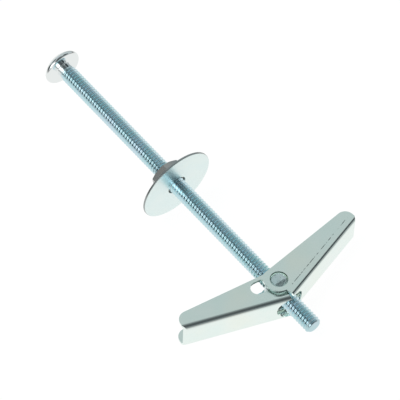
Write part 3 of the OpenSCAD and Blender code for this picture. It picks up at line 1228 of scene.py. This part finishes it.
@dataclass(frozen=True)
class Studio:
    """White table in a grey room, with a soft light on one side and a dark camera side."""

    floor_size: float = 8.0
    lit: float = 0.9
    white: float = 1.06
    sky: Colour = (0.24, 0.27, 0.275)
    near_table: float = 0.9
    far_table: float = 0.25
    lit_from: float = 0.066
    lit_to: float = 0.13
    head_side: float = 0.3
    table_tint: Colour = (0.985, 1.0, 0.985)
    lamp_size: float = 0.9
    lamp_power: float = 6.0
    lamp_spot: Tuple[float, float, float] = (-0.35, -0.5, 1.2)
    panels: Tuple[Panel, ...] = (
        Panel(95.0, 66.0, 42.0, 14.0, (0.51, 0.57, 0.58)),
        Panel(150.0, 33.0, 13.0, 8.0, (0.50, 0.57, 0.58)),
        Panel(-178.0, 26.0, 12.0, 8.0, (0.60, 0.68, 0.72)),
        Panel(106.0, 26.0, 11.0, 7.0, (0.50, 0.565, 0.56)),
        Panel(180.0, 84.0, 27.0, 14.0, (0.66, 0.72, 0.72)),
        Panel(-90.0, 27.0, 13.0, 8.0, (0.50, 0.54, 0.55)),
        Panel(-112.0, 56.0, 9.0, 9.0, (0.5, 0.53, 0.53)),
        Panel(-142.0, 38.0, 9.0, 8.0, (0.06, 0.07, 0.07)),
        Panel(-121.0, 79.0, 16.0, 8.0, (0.05, 0.06, 0.06)),
        Panel(-64.0, 80.0, 14.0, 8.0, (0.85, 0.88, 0.88)),
        Panel(-70.0, 58.0, 14.0, 7.0, (1.75, 1.8, 1.8)),
        Panel(-42.0, 66.0, 15.0, 8.0, (1.75, 1.8, 1.8)),
        Panel(-10.0, 25.0, 5.0, 15.0, (0.14, 0.16, 0.16)),
        Panel(2.0, 54.0, 9.0, 22.0, (0.075, 0.085, 0.09)),
        Panel(66.0, 41.0, 6.0, 6.0, (0.11, 0.12, 0.12)),
        Panel(52.0, 58.0, 12.0, 7.0, (0.05, 0.06, 0.065)),
    )

    def floor(self) -> bpy.types.Object:
        """A pale table under the object that keeps its shadow and is less lit further out."""
        shape = bmesh.new()
        bmesh.ops.create_grid(shape, x_segments=8, y_segments=8, size=self.floor_size / 2)
        floor = bpy.data.objects.new("floor", Blank(shape).mesh("floor"))
        bpy.context.scene.collection.objects.link(floor)
        made = bpy.data.materials.new("pale_floor")
        made.use_nodes = True
        made.cycles.emission_sampling = "NONE"
        tree = Tree(made.node_tree)
        rays = tree.add("ShaderNodeLightPath")
        place = tree.out(tree.add("ShaderNodeTexCoord"), "Object")
        spot = tree.add("ShaderNodeSeparateXYZ", None, {0: place})
        x, y = tree.out(spot, "X"), tree.out(spot, "Y")
        # Towards the head's side the table stays lit further out.
        x = tree.maths("MAXIMUM", x, x * self.head_side)
        away = tree.maths("SQRT", x * x + y * y)
        fade = tree.maths("EXPONENT", (self.lit_from - away) / (self.lit_to - self.lit_from))
        fade = tree.maths("MINIMUM", fade, 1.0)
        tone = self.far_table + fade * (self.near_table - self.far_table)
        seen = tree.out(rays, "Is Camera Ray")
        mirrored = tree.maths(
            "MAXIMUM", tree.out(rays, "Is Glossy Ray"), tree.out(rays, "Is Transmission Ray")
        )
        strength = tree.maths("MAXIMUM", seen * self.white, tone)
        matt = tree.made("ShaderNodeBsdfDiffuse", {"Color": (0.9, 0.9, 0.9)})
        glow_tint = tree.blend(seen, self.table_tint, (1.0, 1.0, 1.0))
        glow = tree.made("ShaderNodeEmission", {"Color": glow_tint, "Strength": strength})
        share = tree.maths("MINIMUM", seen * self.lit + mirrored, 1.0)
        mixed = tree.made("ShaderNodeMixShader", {0: share, 1: matt, 2: glow})
        tree.add("ShaderNodeOutputMaterial", None, {"Surface": mixed})
        floor.data.materials.append(made)
        floor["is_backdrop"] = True
        return floor

    def world(self) -> None:
        """Sky of soft panels: white to the camera, shaded for what the metal shows."""
        world = bpy.data.worlds.new("studio")
        bpy.context.scene.world = world
        world.use_nodes = True
        tree = Tree(world.node_tree)
        ray = tree.out(tree.add("ShaderNodeTexCoord"), "Generated")
        colour: Operand = self.sky
        for panel in self.panels:
            low, high = (math.cos(math.radians(a)) for a in (panel.reach + panel.edge, panel.reach))
            share = tree.ease(tree.dot(ray, panel.towards), low, high)
            colour = tree.blend(share, colour, panel.tone)
        rays = tree.add("ShaderNodeLightPath")
        colour = tree.blend(tree.out(rays, "Is Camera Ray"), colour, (1.0, 1.0, 1.0))
        light = tree.made("ShaderNodeBackground", {"Color": colour, "Strength": 1.0})
        tree.add("ShaderNodeOutputWorld", None, {"Surface": light})

    def lamps(self) -> None:
        """One large soft lamp overhead that only the matt surfaces see."""
        lamp = bpy.data.lights.new("soft_lamp", "AREA")
        lamp.shape, lamp.size, lamp.energy = "DISK", self.lamp_size, self.lamp_power
        lamp.specular_factor = 0.0
        held = bpy.data.objects.new("soft_lamp", lamp)
        held.location = self.lamp_spot
        held.rotation_euler = (-held.location).to_track_quat("-Z", "Y").to_euler()
        held.visible_glossy = False
        bpy.context.scene.collection.objects.link(held)


@dataclass(frozen=True)
class Camera:
    """The viewpoint, held in the screw's frame: above, on the wings' side, with a long lens."""

    spot: Tuple[float, float, float] = (514.50, -383.27, 843.36)
    back: Tuple[float, float, float] = (0.428264, -0.375795, 0.821808)
    right: Tuple[float, float, float] = (0.630069, 0.776086, 0.026543)
    lens: float = 262.4

    def place(self, places: ScrewFrame) -> bpy.types.Object:
        """Makes the camera and turns it as the screw's frame asks.

        Args:
            places: The screw's frame.

        Returns:
            The camera, which is the scene's own from then on.
        """
        turn = places.matrix.to_3x3().normalized()
        back, right = turn @ Vector(self.back), turn @ Vector(self.right)
        up = back.cross(right)
        data = bpy.data.cameras.new("camera")
        data.lens, data.sensor_width = self.lens, 36.0
        data.clip_start, data.clip_end = 0.05, 50.0
        camera = bpy.data.objects.new("camera", data)
        axes = Matrix((right, up, back)).transposed().to_4x4()
        camera.matrix_world = Matrix.Translation(places.matrix @ Vector(self.spot)) @ axes
        bpy.context.scene.collection.objects.link(camera)
        bpy.context.scene.camera = camera
        return camera


# ---- assembly ----


@dataclass
class ToggleBolt:
    """Builds every piece, dresses it and ties it to its moving body."""

    places: ScrewFrame
    right_angle: float = 4.9
    left_angle: float = 9.3
    leg: float = 12.5
    # Where the screw's painted paler head and neck end (painted reflection), in millimetres from
    # under the head.
    painted_pale_neck: float = 1.5
    finishes: Dict[str, bpy.types.Material] = field(default_factory=dict)

    def dress(self) -> None:
        """Builds the finishes once."""
        places, washer = self.places, FlatWasher(self.places)
        painted_pale_to = places.origin + places.along * self.painted_pale_neck * MM
        marks = {
            "wing_zinc": [Wing(places, Side.RIGHT, self.right_angle).die_mark()],
            # The screw's head and neck are painted paler and more neutral: painted reflection.
            "screw_zinc": [PaintedPaleZone(painted_pale_to, places.along)],
            # The washer's sheared rim is painted dark: painted shade.
            "washer_zinc": [PaintedRimShade(washer.middle(), places.along, washer.radius())],
        }
        self.finishes = {
            slot: finish.material(marks.get(slot, ())) for slot, finish in FINISHES.items()
        }

    def hand_over(self, piece: bpy.types.Object, body: str, node: str, slot: str) -> None:
        """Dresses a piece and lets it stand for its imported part.

        Args:
            piece: The finished piece.
            body: The moving body that it rides on.
            node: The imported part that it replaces.
            slot: The material slot of the record.
        """
        piece.data.materials.clear()
        piece.data.materials.append(self.finishes[slot])
        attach(piece, body)
        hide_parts(node)
        low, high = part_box(node)
        mine = [v.co for v in piece.data.vertices]
        off = [
            1000 * (f(p[i] for p in mine) - limit[i])
            for f, limit in ((min, low), (max, high))
            for i in range(3)
        ]
        triangles = sum(len(p.vertices) - 2 for p in piece.data.polygons)
        LOG.info("%s on %s: %d triangles, box off by %s mm", piece.name, body, triangles,
                 " ".join(f"{v:+.2f}" for v in off))

    def build(self) -> None:
        """Builds all the pieces in order."""
        places = self.places
        screw = MachineScrew(places, self.finishes["screw_zinc"]).build()
        self.hand_over(screw, "screw", "machine_screw", "screw_zinc")
        self.hand_over(HexNut(places).build(), "nut", "hex_nut", "nut_zinc")
        self.hand_over(FlatWasher(places).build(), "washer", "flat_washer", "washer_zinc")
        self.hand_over(Trunnion(places).build(), "toggle", "trunnion_nut", "trunnion_zinc")
        right = Wing(places, Side.RIGHT, self.right_angle)
        left = Wing(places, Side.LEFT, self.left_angle)
        spring = WireSpring(places, self.finishes["spring_steel"])
        wire = spring.build(right.leg_end(self.leg), left.leg_end(self.leg))
        self.hand_over(wire, "toggle", "torsion_spring", "spring_steel")
        self.hand_over(right.build(), "right_wing", "wing_right", "wing_zinc")
        self.hand_over(left.build(), "left_wing", "wing_left", "wing_zinc")


def corners(box: Tuple[Vector, Vector]) -> List[List[float]]:
    """A box as plain lists."""
    return [[float(v) for v in corner] for corner in box]


def main() -> None:
    """Builds the object, the studio and the camera."""
    logging.basicConfig(level=logging.INFO, format="%(name)s: %(message)s", force=True)
    cad_box = corners(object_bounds())
    bolt = ToggleBolt(ScrewFrame.from_record(frame["record"]))
    bolt.dress()
    bolt.build()
    view = bpy.context.scene.view_settings
    view.view_transform = "Standard"
    Camera().place(bolt.places)
    studio = Studio()
    studio.floor()
    studio.world()
    studio.lamps()
    {"cad": cad_box, "visual": corners(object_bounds())}
    LOG.info("size written")


if __name__ == "__main__":
    main()
